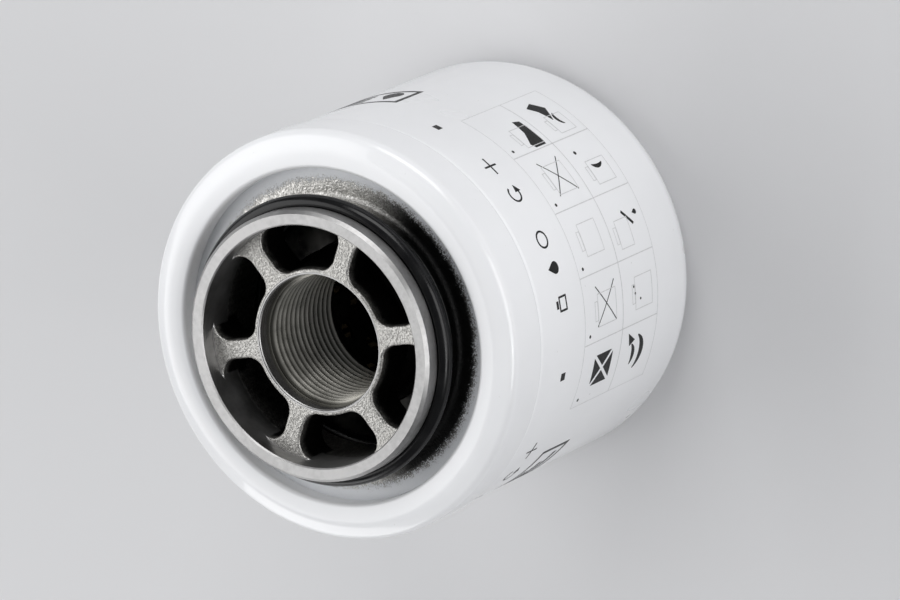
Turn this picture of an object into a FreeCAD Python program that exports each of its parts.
"""Spin-on oil filter: a painted steel can rolled over a die-cast cover, with a pleated element inside.

Millimetres. The axis is Z, the closed end stands on z = 0 and the threaded end points up.
Every piece is one STEP file in parts/.
"""
import FreeCAD, Part
import math
import os

from FreeCAD import Vector

# ---- driving dimensions -------------------------------------------------------------------------
filter_height = 97.25       # closed end to the machined face of the collar
can_radius = 48.0           # outside of the drawn can
can_wall = 0.8
mouth_growth = 0.6          # how much further out the expanded mouth of the can is
end_corner_radius = 7.0
end_dish_margin = 18.0      # from the side of the can to where the closed end is pressed in
end_dish_depth = 1.2

rim_width = 8.9             # from the mouth's side to the cut edge of the rolled rim
rim_crown_inset = 4.3
rim_crown_rise = 4.8        # above the floor of the recess
rim_inner_rise = 4.4
rim_corner_rise = 2.95
seat_bead_depth = 0.4       # bead in the can that carries the cover

collar_height = 14.05       # above the floor of the recess
collar_radius = 32.0
collar_wall = 3.4
collar_chamfer = 0.75
flange_thickness = 9.0
flange_pocket_depth = 5.3
flange_pocket_margin = 2.5  # from under the collar's side to the pocket
flange_rim_wall = 4.1       # left outside the pocket

thread_radius = 16.0        # major radius of the M32 x 2 thread
thread_mouth_chamfer = 0.5
hub_rim_wall = 1.3          # outside the thread, at the hub's face
hub_face_drop = 4.5         # below the face of the collar
nozzle_wall = 2.0
nozzle_length = 6.0
shoulder_width = 1.5
shoulder_drop = 29.75       # shoulder of the nozzle below the face of the collar

spoke_count = 6
spoke_first_angle = 14.0
spoke_width = 4.5
spoke_depth = 10.0
slot_corner_share = 0.35    # of a slot's depth, for the rounding of its corners
slot_edge_round = 0.6

o_ring_section = 3.9
o_ring_drop = 6.4           # centre of the section below the face of the collar
o_ring_groove_depth = 1.5
rim_seal_section = 2.44
rim_seal_height = 4.6       # centre of the section above the underside of the flange

diaphragm_wall = 1.2
diaphragm_lip_reach = 4.9   # how far the lip lies outside the collar's bore
diaphragm_travel = 1.5
backing_ring_wall = 0.6
backing_ring_margin = 1.1   # inside the collar's bore

element_gap = 4.2           # between the pleats' tips and the inside of the can
element_cap_wall = 0.5
element_cap_skirt = 4.5
cap_bend = 0.8              # outside radius of the bend between cap and skirt
potting_depth = 2.0
grommet_flange = 1.5
grommet_flange_width = 3.0
grommet_wall = 2.0
grommet_length = 4.0

tube_gap = 0.4              # between the grommet and the inside of the tube
tube_wall = 0.6
tube_hole_radius = 2.0
tube_holes_round = 12
tube_hole_rows = 6

pleat_count = 60
paper_thickness = 0.6
fold_half = 0.05            # half of the flat inside a fold
band_height = 2.5
band_thickness = 0.85
seam_clip_wall = 0.3
seam_clip_depth = 5.0

support_spring_wire = 2.0
support_spring_radius = 18.0
support_spring_height = 13.2
support_spring_turns = 3.5
spring_seat_wall = 0.8
spring_seat_margin = 5.0    # outside the spring
spring_seat_lip = 3.2

bypass_bore_radius = 7.0
bypass_plate_wall = 0.8
bypass_plate_margin = 1.0   # outside the cage's flange
poppet_overlap = 1.5        # of the poppet over its seat
poppet_wall = 1.0
poppet_seal_wall = 1.0
poppet_stem_radius = 2.0
poppet_travel = 3.0
bypass_spring_wire = 0.9
bypass_spring_radius = 5.5
bypass_spring_squeezed = 8.65   # its length with the poppet fully open
bypass_spring_turns = 5.5
cage_gap = 2.1              # between the poppet's edge and the inside of the cage
cage_wall = 0.8
cage_flange_width = 2.1
cage_windows = 3
cage_window_angle = 80.0

running_clearance = 0.05    # a stem in its guide
grommet_gap = 0.1           # between the grommet and the nozzle
groove_clearance = 0.15     # above and below a ring in its groove
fit_gap = 0.05              # between fixed pieces that fit closely
contact_gap = 0.02          # between pieces that rest on one another
seal_gap = 0.05             # between a moving seal and its seat
slip_gap = 0.3              # between moving pieces that are not a fit
nest_gap = 0.2              # between pieces that lie one inside the other
small_round = 0.6

# ---- levels and radii that follow from them ---------------------------------------------------------
face_z = filter_height
floor_z = face_z - collar_height
flange_z = floor_z - flange_thickness
hub_face_z = face_z - hub_face_drop
shoulder_z = face_z - shoulder_drop
nozzle_z = shoulder_z - nozzle_length
o_ring_z = face_z - o_ring_drop
mouth_radius = can_radius + mouth_growth
mouth_inner_radius = mouth_radius - can_wall
flange_radius = mouth_inner_radius - nest_gap
rim_inner_radius = mouth_radius - rim_width
rim_crown_radius = mouth_radius - rim_crown_inset
can_floor_z = end_dish_depth + can_wall

collar_bore_radius = collar_radius - collar_wall
hub_rim_radius = thread_radius + hub_rim_wall
nozzle_radius = thread_radius + nozzle_wall
hub_barrel_radius = nozzle_radius + shoulder_width
slot_corner = slot_corner_share * (collar_bore_radius - hub_rim_radius)
flange_pocket_inner = collar_radius + flange_pocket_margin
flange_pocket_outer = flange_radius - flange_rim_wall
diaphragm_lip_radius = collar_bore_radius + diaphragm_lip_reach

element_radius = can_radius - can_wall - element_gap
cap_top_z = shoulder_z - grommet_flange
seat_under_cap_z = can_floor_z + support_spring_height
cap_bottom_z = seat_under_cap_z + spring_seat_wall
inside_bottom_z = cap_bottom_z + element_cap_wall
inside_top_z = cap_top_z - element_cap_wall
pleat_bottom_z = inside_bottom_z + potting_depth
pleat_top_z = inside_top_z - potting_depth
cap_outer_radius = element_radius + nest_gap * 2 + element_cap_wall
grommet_body_radius = nozzle_radius + grommet_wall
tube_radius = grommet_body_radius + tube_gap + tube_wall
media_inner_radius = tube_radius + nest_gap * 2

poppet_radius = bypass_bore_radius + poppet_overlap
cage_radius = poppet_radius + cage_gap + cage_wall
cage_flange_radius = cage_radius + cage_flange_width
bypass_plate_radius = cage_flange_radius + bypass_plate_margin
bypass_plate_top_z = inside_bottom_z + bypass_plate_wall
poppet_seal_z = bypass_plate_top_z + seal_gap
poppet_z = poppet_seal_z + poppet_seal_wall
poppet_top_z = poppet_z + poppet_wall
guide_z = poppet_top_z + bypass_spring_squeezed + poppet_travel

AXIS = Vector(0, 0, 1)
ORIGIN = Vector(0, 0, 0)


# ---- ways of making a piece ---------------------------------------------------------------------------
def rounded_outline(corners):
    """A closed wire in the XZ plane through (r, z, corner radius), with tangent arcs at the corners."""
    points = [Vector(r, 0, z) for r, z, _ in corners]
    count = len(points)
    arcs = []
    for i, (_, _, radius) in enumerate(corners):
        here = points[i]
        if radius <= 0:
            arcs.append((here, None, here))
            continue
        back = (points[i - 1] - here).normalize()
        on = (points[(i + 1) % count] - here).normalize()
        half = back.getAngle(on) / 2
        reach = radius / math.tan(half)
        centre = here + (back + on).normalize() * (radius / math.sin(half))
        middle = centre + (here - centre).normalize() * radius
        arcs.append((here + back * reach, middle, here + on * reach))
    edges = []
    for i, (start, middle, end) in enumerate(arcs):
        if middle is not None:
            edges.append(Part.Arc(start, middle, end).toShape())
        following = arcs[(i + 1) % count][0]
        if (following - end).Length > 1e-6:
            edges.append(Part.makeLine(end, following))
    return Part.Wire(edges)


def turned(corners):
    """A solid of revolution about Z from a closed outline of (r, z, corner radius)."""
    face = Part.Face(rounded_outline(corners))
    return face.revolve(ORIGIN, AXIS, 360)


def ring(inner, outer, low, high, corner=0.0):
    """A plain ring with the same rounding on its four edges."""
    return turned([(inner, low, corner), (outer, low, corner), (outer, high, corner), (inner, high, corner)])


def pressed(path, wall):
    """Sheet metal of one thickness: the path (r, z, corner radius) is its outer skin, the wall lies to its left."""
    points = [Vector(r, 0, z) for r, z, _ in path]
    inner = []
    for i, (_, _, radius) in enumerate(path):
        before = points[i] - points[i - 1] if i else points[1] - points[0]
        after = points[i + 1] - points[i] if i < len(path) - 1 else before
        before.normalize()
        after.normalize()
        normal_before = Vector(-before.z, 0, before.x)
        normal_after = Vector(-after.z, 0, after.x)
        shift = (normal_before + normal_after) * (wall / (1 + normal_before.dot(normal_after)))
        turn = before.x * after.z - before.z * after.x
        inner_radius = 0.0
        if radius > 0:
            inner_radius = max(radius - wall, 0.1) if turn > 0 else radius + wall
        place = points[i] + shift
        inner.append((place.x, place.z, inner_radius))
    return turned(list(path) + inner[::-1])


def o_ring(radius, section, height):
    return Part.makeTorus(radius, section / 2, Vector(0, 0, height), AXIS)


def coil(radius, wire, low, high, turns):
    """A round-wire compression spring that just fills low to high."""
    rise = high - low - wire
    path = Part.makeHelix(rise / turns, rise, radius)
    path.translate(Vector(0, 0, low + wire / 2))
    section = Part.Wire(Part.makeCircle(wire / 2, Vector(radius, 0, low + wire / 2), Vector(0, 1, 0)))
    return Part.Wire(path.Edges).makePipeShell([section], True, True)


def at_angle(shape, degrees):
    copy = shape.copy()
    copy.rotate(ORIGIN, AXIS, degrees)
    return copy


def polar(radius, degrees, height=0.0):
    angle = math.radians(degrees)
    return Vector(radius * math.cos(angle), radius * math.sin(angle), height)


# ---- the housing --------------------------------------------------------------------------------------
def can_shell():
    bead_z = flange_z - small_round
    bead_half = 1.0
    return pressed(
        [
            (0, end_dish_depth, 0),
            (can_radius - end_dish_margin, end_dish_depth, 1.5),
            (can_radius - end_dish_margin + 2.0, 0, 2.0),
            (can_radius, 0, end_corner_radius),
            (can_radius, bead_z - bead_half, 1.0),
            (can_radius - seat_bead_depth, bead_z, 0.8),
            (mouth_radius, bead_z + bead_half, 1.0),
            (mouth_radius, floor_z + rim_corner_rise, 2.4),
            (rim_crown_radius, floor_z + rim_crown_rise, 5.0),
            (rim_inner_radius, floor_z + rim_inner_rise, 1.1),
            (rim_inner_radius, floor_z + fit_gap, 0),
        ],
        can_wall,
    )


def slot_cutter():
    """One opening between two spokes, as a prism with four rounded corners."""
    low = hub_face_z - spoke_depth - 1
    high = hub_face_z + 1
    pitch = 360.0 / spoke_count
    sector = Part.makeCylinder(collar_bore_radius, high - low, Vector(0, 0, low), AXIS, pitch)
    sector = sector.cut(Part.makeCylinder(hub_rim_radius, high - low, Vector(0, 0, low)))
    for angle, side in ((0.0, -spoke_width / 2), (pitch, -spoke_width / 2)):
        spoke = Part.makeBox(collar_bore_radius + 5, spoke_width, high - low + 2, Vector(0, side, low - 1))
        sector = sector.cut(at_angle(spoke, angle))
    upright = [
        e
        for e in sector.Edges
        if abs(e.Vertexes[0].X - e.Vertexes[-1].X) < 1e-6 and abs(e.Vertexes[0].Y - e.Vertexes[-1].Y) < 1e-6
    ]
    return sector.makeFillet(slot_corner, upright)


def spoke_web():
    """The six spokes, with the edges of the slots rounded on the side that shows."""
    web = ring(thread_radius + 0.2, collar_bore_radius + 1.2, hub_face_z - spoke_depth, hub_face_z)
    slot = slot_cutter()
    for i in range(spoke_count):
        web = web.cut(at_angle(slot, spoke_first_angle + i * 360.0 / spoke_count))
    top_edges = []
    for edge in web.Edges:
        on_top = all(abs(v.Z - hub_face_z) < 1e-6 for v in edge.Vertexes)
        middle = edge.valueAt((edge.FirstParameter + edge.LastParameter) / 2)
        reach = math.hypot(middle.x, middle.y)
        if on_top and thread_radius + 0.6 < reach < collar_bore_radius + 0.6:
            top_edges.append(edge)
    return web.makeFillet(slot_edge_round, top_edges)


def base_plate():
    groove = collar_radius - o_ring_groove_depth
    groove_half = o_ring_section / 2 + groove_clearance
    seal_groove = mouth_inner_radius - rim_seal_section - contact_gap * 2
    seal_z = flange_z + rim_seal_height
    seal_half = rim_seal_section / 2 + groove_clearance
    land_inner = rim_inner_radius + can_wall + nest_gap
    land_z = floor_z + rim_crown_rise - can_wall * 2 - nest_gap
    pocket_corner = (flange_pocket_outer - flange_pocket_inner) / 6
    body = turned(
        [
            (collar_bore_radius, flange_z, 0.4),
            (flange_pocket_inner, flange_z, 0.4),
            (flange_pocket_inner, flange_z + flange_pocket_depth, pocket_corner),
            (flange_pocket_outer, flange_z + flange_pocket_depth, pocket_corner),
            (flange_pocket_outer, flange_z, 0.4),
            (flange_radius - 0.6, flange_z, 0),
            (flange_radius, flange_z + 0.65, 0),
            (flange_radius, seal_z - seal_half, 0),
            (seal_groove, seal_z - seal_half, 0.4),
            (seal_groove, seal_z + seal_half, 0.4),
            (flange_radius, seal_z + seal_half, 0),
            (flange_radius, floor_z + 0.4, 0.5),
            (rim_crown_radius, land_z, 1.0),
            (land_inner, land_z, 0.5),
            (land_inner, floor_z, 0),
            (collar_radius, floor_z, 1.4),
            (collar_radius, o_ring_z - groove_half, 0.2),
            (groove, o_ring_z - groove_half, 1.0),
            (groove, o_ring_z + groove_half, 1.0),
            (collar_radius, o_ring_z + groove_half, 0.2),
            (collar_radius, face_z - collar_chamfer, 0),
            (collar_radius - collar_chamfer, face_z, 0),
            (collar_bore_radius + 0.3, face_z, 0),
            (collar_bore_radius, face_z - 0.3, 0),
        ]
    )
    web_z = hub_face_z - spoke_depth
    hub = turned(
        [
            (thread_radius, nozzle_z, 0),
            (nozzle_radius - 0.5, nozzle_z, 0),
            (nozzle_radius, nozzle_z + 0.5, 0),
            (nozzle_radius, shoulder_z, 0),
            (hub_barrel_radius, shoulder_z, 0),
            (hub_barrel_radius, web_z - 3.2, 3.0),
            (hub_rim_radius + 0.7, web_z, 0),
            (hub_rim_radius, hub_face_z, slot_edge_round),
            (thread_radius + thread_mouth_chamfer, hub_face_z, 0),
            (thread_radius, hub_face_z - thread_mouth_chamfer, 0),
        ]
    )
    return body.fuse(spoke_web()).fuse(hub).removeSplitter()


def mounting_o_ring():
    radius = collar_radius - o_ring_groove_depth + fit_gap + o_ring_section / 2
    return o_ring(radius, o_ring_section, o_ring_z)


def rim_seal():
    radius = mouth_inner_radius - contact_gap - rim_seal_section / 2
    return o_ring(radius, rim_seal_section, flange_z + rim_seal_height)


# ---- the drain-back valve -----------------------------------------------------------------------------
diaphragm_lip_z = flange_z - slip_gap
diaphragm_web_z = shoulder_z + diaphragm_travel + 1.0


def drain_back_diaphragm():
    bore = hub_barrel_radius + slip_gap
    web_top = diaphragm_web_z + diaphragm_wall
    bend = diaphragm_lip_radius - 3.5
    return turned(
        [
            (bore, diaphragm_web_z - 0.5, 0.3),
            (bore + 1.6, diaphragm_web_z - 0.5, 0.3),
            (bore + 2.1, diaphragm_web_z, 0.3),
            (bend, diaphragm_web_z, 1.5),
            (diaphragm_lip_radius, diaphragm_lip_z - 0.8, 0.4),
            (diaphragm_lip_radius, diaphragm_lip_z, 0.2),
            (diaphragm_lip_radius - 1.6, diaphragm_lip_z, 0.3),
            (bend - 0.6, web_top, 1.0),
            (bore, web_top, 0.3),
        ]
    )


def valve_backing_ring():
    low = diaphragm_web_z + diaphragm_wall
    outer = collar_bore_radius - backing_ring_margin
    return ring(hub_barrel_radius + slip_gap, outer, low, low + backing_ring_wall, 0.15)


# ---- the filter element -------------------------------------------------------------------------------
def top_end_cap():
    hole = grommet_body_radius + fit_gap
    return pressed(
        [
            (cap_outer_radius, cap_top_z - element_cap_skirt, 0),
            (cap_outer_radius, cap_top_z, cap_bend),
            (hole, cap_top_z, 0),
        ],
        element_cap_wall,
    )


def bottom_end_cap():
    return pressed(
        [
            (bypass_plate_radius - 1.5, cap_bottom_z, 0),
            (cap_outer_radius, cap_bottom_z, cap_bend),
            (cap_outer_radius, cap_bottom_z + element_cap_skirt, 0),
        ],
        element_cap_wall,
    )


def potting(low, high):
    return ring(tube_radius + fit_gap, element_radius, low, high)


def element_grommet():
    bore = nozzle_radius + grommet_gap
    flange_outer = grommet_body_radius + grommet_flange_width
    return turned(
        [
            (bore, cap_top_z - grommet_length, 0.5),
            (grommet_body_radius, cap_top_z - grommet_length, 0.5),
            (grommet_body_radius, cap_top_z, 0),
            (flange_outer, cap_top_z, 0.3),
            (flange_outer, shoulder_z - contact_gap, 0.5),
            (bore, shoulder_z - contact_gap, 0.3),
        ]
    )


def centre_tube():
    tube = ring(tube_radius - tube_wall, tube_radius, inside_bottom_z, inside_top_z)
    low = pleat_bottom_z + 3 * tube_hole_radius
    high = min(pleat_top_z, nozzle_z) - 2 * tube_hole_radius
    step = (high - low) / (tube_hole_rows - 1)
    drills = []
    for row in range(tube_hole_rows):
        for i in range(tube_holes_round // 2):
            drill = Part.makeCylinder(
                tube_hole_radius,
                tube_radius * 2 + 4,
                Vector(-tube_radius - 2, 0, low + row * step),
                Vector(1, 0, 0),
            )
            drills.append(at_angle(drill, (i + 0.5 * (row % 2)) * 360.0 / tube_holes_round))
    return tube.cut(drills)


def zigzag(tip_radius, valley_radius, tip_half, valley_half):
    """A closed star outline with a short flat at each tip and at each valley."""
    points = []
    pitch = 360.0 / pleat_count
    for i in range(pleat_count):
        tip = math.degrees(tip_half / tip_radius)
        valley = math.degrees(valley_half / valley_radius)
        points += [polar(tip_radius, i * pitch - tip), polar(tip_radius, i * pitch + tip)]
        points += [
            polar(valley_radius, (i + 0.5) * pitch - valley),
            polar(valley_radius, (i + 0.5) * pitch + valley),
        ]
    return Part.makePolygon(points + [points[0]])


def pleated_media():
    outer = zigzag(element_radius, media_inner_radius + paper_thickness, paper_thickness, fold_half)
    inner = zigzag(element_radius - paper_thickness, media_inner_radius, fold_half, paper_thickness)
    face = Part.Face(outer).cut(Part.Face(inner))
    solid = face.extrude(Vector(0, 0, pleat_top_z - pleat_bottom_z)).Solids[0]
    solid.translate(Vector(0, 0, pleat_bottom_z))
    return solid


clip_low = cap_bottom_z + element_cap_skirt + 1.0
clip_high = cap_top_z - element_cap_skirt - 1.0
clip_half = paper_thickness * 1.9
clip_outer_x = element_radius + fit_gap + seam_clip_wall


def seam_clip():
    """Folded strip over the pleat where the two ends of the paper meet."""
    size = clip_half + seam_clip_wall
    block = Part.makeBox(
        seam_clip_depth, 2 * size, clip_high - clip_low, Vector(clip_outer_x - seam_clip_depth, -size, clip_low)
    )
    room = Part.makeBox(
        seam_clip_depth, 2 * clip_half, clip_high - clip_low + 2,
        Vector(clip_outer_x - seam_clip_wall - seam_clip_depth, -clip_half, clip_low - 1),
    )
    return block.cut(room)


def pleat_bands():
    """Two beads of hot glue round the pleats, open at the seam clip."""
    span = pleat_top_z - pleat_bottom_z
    gap = clip_half + seam_clip_wall + nest_gap
    bands = []
    for share in (1 / 3, 2 / 3):
        low = pleat_bottom_z + span * share - band_height / 2
        inner = element_radius + contact_gap
        band = ring(inner, inner + band_thickness, low, low + band_height, 0.3)
        bands.append(band.cut(Part.makeBox(10, 2 * gap, span, Vector(element_radius - 5, -gap, low - span / 2))))
    return Part.makeCompound(bands)


# ---- the bypass valve ---------------------------------------------------------------------------------
def bypass_seat():
    return ring(bypass_bore_radius, bypass_plate_radius, inside_bottom_z, bypass_plate_top_z, 0.15)


def bypass_cage():
    top = guide_z + cage_wall
    cage = pressed(
        [
            (cage_flange_radius, bypass_plate_top_z + cage_wall, 0),
            (cage_radius, bypass_plate_top_z + cage_wall, 0.9),
            (cage_radius, top, 1.2),
            (poppet_stem_radius + running_clearance, top, 0),
        ],
        cage_wall,
    )
    low = bypass_plate_top_z + 2.5
    high = guide_z - 1.5
    window = Part.makeCylinder(cage_radius + 1, high - low, Vector(0, 0, low), AXIS, cage_window_angle)
    window = window.cut(Part.makeCylinder(poppet_radius, high - low, Vector(0, 0, low)))
    for i in range(cage_windows):
        cage = cage.cut(at_angle(window, i * 360.0 / cage_windows))
    return cage


def bypass_poppet():
    stem_top = guide_z + cage_wall + 1.2
    return turned(
        [
            (0, poppet_z, 0),
            (poppet_radius, poppet_z, 0.3),
            (poppet_radius, poppet_top_z, 0.3),
            (poppet_stem_radius, poppet_top_z, 0.4),
            (poppet_stem_radius, stem_top, 0.6),
            (0, stem_top, 0),
        ]
    )


def poppet_seal():
    return ring(bypass_bore_radius - 2.0, poppet_radius, poppet_seal_z, poppet_z, 0.2)


def bypass_spring():
    return coil(bypass_spring_radius, bypass_spring_wire, poppet_top_z, guide_z, bypass_spring_turns)


# ---- the spring that holds the element up -----------------------------------------------------------------
def spring_seat():
    lip_radius = support_spring_radius - support_spring_wire / 2 - slip_gap
    outer = support_spring_radius + support_spring_wire / 2 + spring_seat_margin
    return turned(
        [
            (lip_radius - spring_seat_wall, seat_under_cap_z - spring_seat_lip, 0.2),
            (lip_radius, seat_under_cap_z - spring_seat_lip, 0.2),
            (lip_radius, seat_under_cap_z, 0.3),
            (outer, seat_under_cap_z, 0.2),
            (outer, cap_bottom_z, 0),
            (lip_radius - spring_seat_wall, cap_bottom_z, 0.6),
        ]
    )


def support_spring():
    return coil(
        support_spring_radius, support_spring_wire, can_floor_z, seat_under_cap_z, support_spring_turns
    )


pieces = {
    "can_shell": can_shell(),
    "base_plate": base_plate(),
    "mounting_o_ring": mounting_o_ring(),
    "rim_seal": rim_seal(),
    "drain_back_diaphragm": drain_back_diaphragm(),
    "valve_backing_ring": valve_backing_ring(),
    "element_grommet": element_grommet(),
    "top_end_cap": top_end_cap(),
    "top_potting": potting(pleat_top_z, inside_top_z),
    "pleated_media": pleated_media(),
    "seam_clip": seam_clip(),
    "pleat_bands": pleat_bands(),
    "centre_tube": centre_tube(),
    "bottom_potting": potting(inside_bottom_z, pleat_bottom_z),
    "bottom_end_cap": bottom_end_cap(),
    "bypass_seat": bypass_seat(),
    "bypass_cage": bypass_cage(),
    "bypass_poppet": bypass_poppet(),
    "poppet_seal": poppet_seal(),
    "bypass_spring": bypass_spring(),
    "spring_seat": spring_seat(),
    "support_spring": support_spring(),
}

os.makedirs("parts", exist_ok=True)
for name, shape in pieces.items():
    shape.exportStep(os.path.join("parts", name + ".step"))
    print(f"{name:24s} volume {shape.Volume:10.1f} mm3  valid {shape.isValid()}  solids {len(shape.Solids)}")
